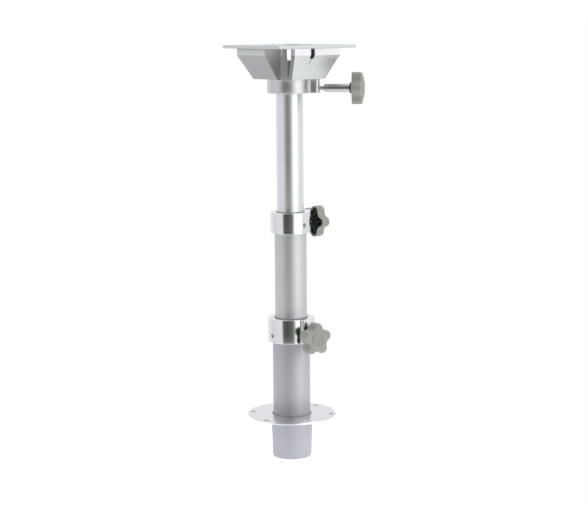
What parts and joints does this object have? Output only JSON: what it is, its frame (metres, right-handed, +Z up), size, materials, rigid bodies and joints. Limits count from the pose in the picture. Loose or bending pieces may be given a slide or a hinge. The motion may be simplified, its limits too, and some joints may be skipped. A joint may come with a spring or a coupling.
{
  "type": "telescopic table pedestal",
  "caption": "Telescopic aluminium table pedestal: floor socket, nested tubes with star-knob clamp collars, swivelling head with a pressed bracket and a square table plate.",
  "frame": {"origin": "centre of the deck opening, in the deck plane, which is the underside of the floor flange; the socket cup hangs below it", "axes": "+Z up along the column, X and Y along the edges of the square table plate; the lower knob points to -Y"},
  "size_m": [0.2021, 0.2047, 0.779],
  "materials": {
    "polished_aluminium": "turned and polished, bright",
    "satin_tube": "satin anodised with a fine lengthwise grain",
    "bright_tube": "bright anodised with a fine lengthwise grain",
    "cast_aluminium": "matt as-cast skin",
    "plated_sheet": "zinc plated pressed sheet",
    "plated_plate": "satin plate with bright sawn edges",
    "steel_fastener": "zinc plated steel",
    "grey_plastic": "moulded light warm grey plastic",
    "black_plastic": "moulded black plastic",
    "nylon": "dark grey nylon"
  },
  "bodies": {
    "floor_socket": {"floor_flange": "polished_aluminium", "socket_cup": "cast_aluminium", "socket_liner": "nylon"},
    "lower_stage": {"lower_tube": "satin_tube", "lower_tube_plug": "black_plastic", "lower_collar": "polished_aluminium", "lower_guide_sleeve": "nylon", "lower_set_screw_1": "steel_fastener", "lower_set_screw_2": "steel_fastener"},
    "lower_pad": {"lower_clamp_pad": "nylon"},
    "lower_knob": {"lower_knob_handle": "grey_plastic", "lower_knob_core": "black_plastic", "lower_knob_stud": "steel_fastener"},
    "middle_stage": {"middle_tube": "satin_tube", "middle_foot_bush": "nylon", "upper_collar": "polished_aluminium", "upper_guide_sleeve": "nylon", "upper_set_screw_1": "steel_fastener", "upper_set_screw_2": "steel_fastener"},
    "upper_pad": {"upper_clamp_pad": "nylon"},
    "upper_knob": {"upper_knob_handle": "grey_plastic", "upper_knob_core": "black_plastic", "upper_knob_stud": "steel_fastener"},
    "upper_stage": {"upper_tube": "bright_tube", "upper_foot_bush": "nylon", "upper_tube_cap": "black_plastic"},
    "head": {"swivel_socket": "polished_aluminium", "table_bracket": "plated_sheet", "table_plate": "plated_plate", "socket_screw_1": "steel_fastener", "socket_screw_2": "steel_fastener", "socket_screw_3": "steel_fastener", "socket_screw_4": "steel_fastener", "plate_screw_1": "steel_fastener", "plate_screw_2": "steel_fastener", "plate_screw_3": "steel_fastener", "plate_screw_4": "steel_fastener", "plate_nut_1": "steel_fastener", "plate_nut_2": "steel_fastener", "plate_nut_3": "steel_fastener", "plate_nut_4": "steel_fastener"},
    "head_pad": {"head_clamp_pad": "nylon"},
    "head_knob": {"head_knob_handle": "grey_plastic", "head_knob_core": "black_plastic", "head_knob_stud": "steel_fastener", "head_knob_neck": "steel_fastener"}
  },
  "joints": [
    {"name": "pedestal_lift", "type": "slide", "parent": "floor_socket", "child": "lower_stage", "axis": [0, 0, 1], "range_m": [0, 0.08]},
    {"name": "middle_slide", "type": "slide", "parent": "lower_stage", "child": "middle_stage", "axis": [0, 0, 1], "range_m": [-0.16, 0]},
    {"name": "upper_slide", "type": "slide", "parent": "middle_stage", "child": "upper_stage", "axis": [0, 0, 1], "range_m": [-0.207, 0]},
    {"name": "head_swivel", "type": "hinge", "parent": "upper_stage", "child": "head", "pos_m": [0, 0, 0.6114], "axis": [0, 0, 1], "continuous": true},
    {"name": "lower_pad_travel", "type": "slide", "parent": "lower_stage", "child": "lower_pad", "axis": [0, -1, 0], "range_m": [0, 0.00376]},
    {"name": "lower_knob_turn", "type": "hinge", "parent": "lower_pad", "child": "lower_knob", "pos_m": [0, -0.065, 0.158], "axis": [0, -1, 0], "range_deg": [0, 1080]},
    {"name": "upper_pad_travel", "type": "slide", "parent": "middle_stage", "child": "upper_pad", "axis": [0.9925, 0.1219, 0], "range_m": [0, 0.00376]},
    {"name": "upper_knob_turn", "type": "hinge", "parent": "upper_pad", "child": "upper_knob", "pos_m": [0, 0, 0.367], "axis": [0.9925, 0.1219, 0], "range_deg": [0, 1080]},
    {"name": "head_pad_travel", "type": "slide", "parent": "head", "child": "head_pad", "axis": [0.7071, -0.7071, 0], "range_m": [-0.00501, 0.00501]},
    {"name": "head_knob_turn", "type": "hinge", "parent": "head_pad", "child": "head_knob", "pos_m": [0, 0, 0.6204], "axis": [0.7071, -0.7071, 0], "range_deg": [-1440, 1440]}
  ],
  "couplings": [
    {"joint": "lower_pad_travel", "follows": "lower_knob_turn", "m_per_rad": 0.00019894},
    {"joint": "upper_pad_travel", "follows": "upper_knob_turn", "m_per_rad": 0.00019894},
    {"joint": "head_pad_travel", "follows": "head_knob_turn", "m_per_rad": 0.00019894}
  ]
}
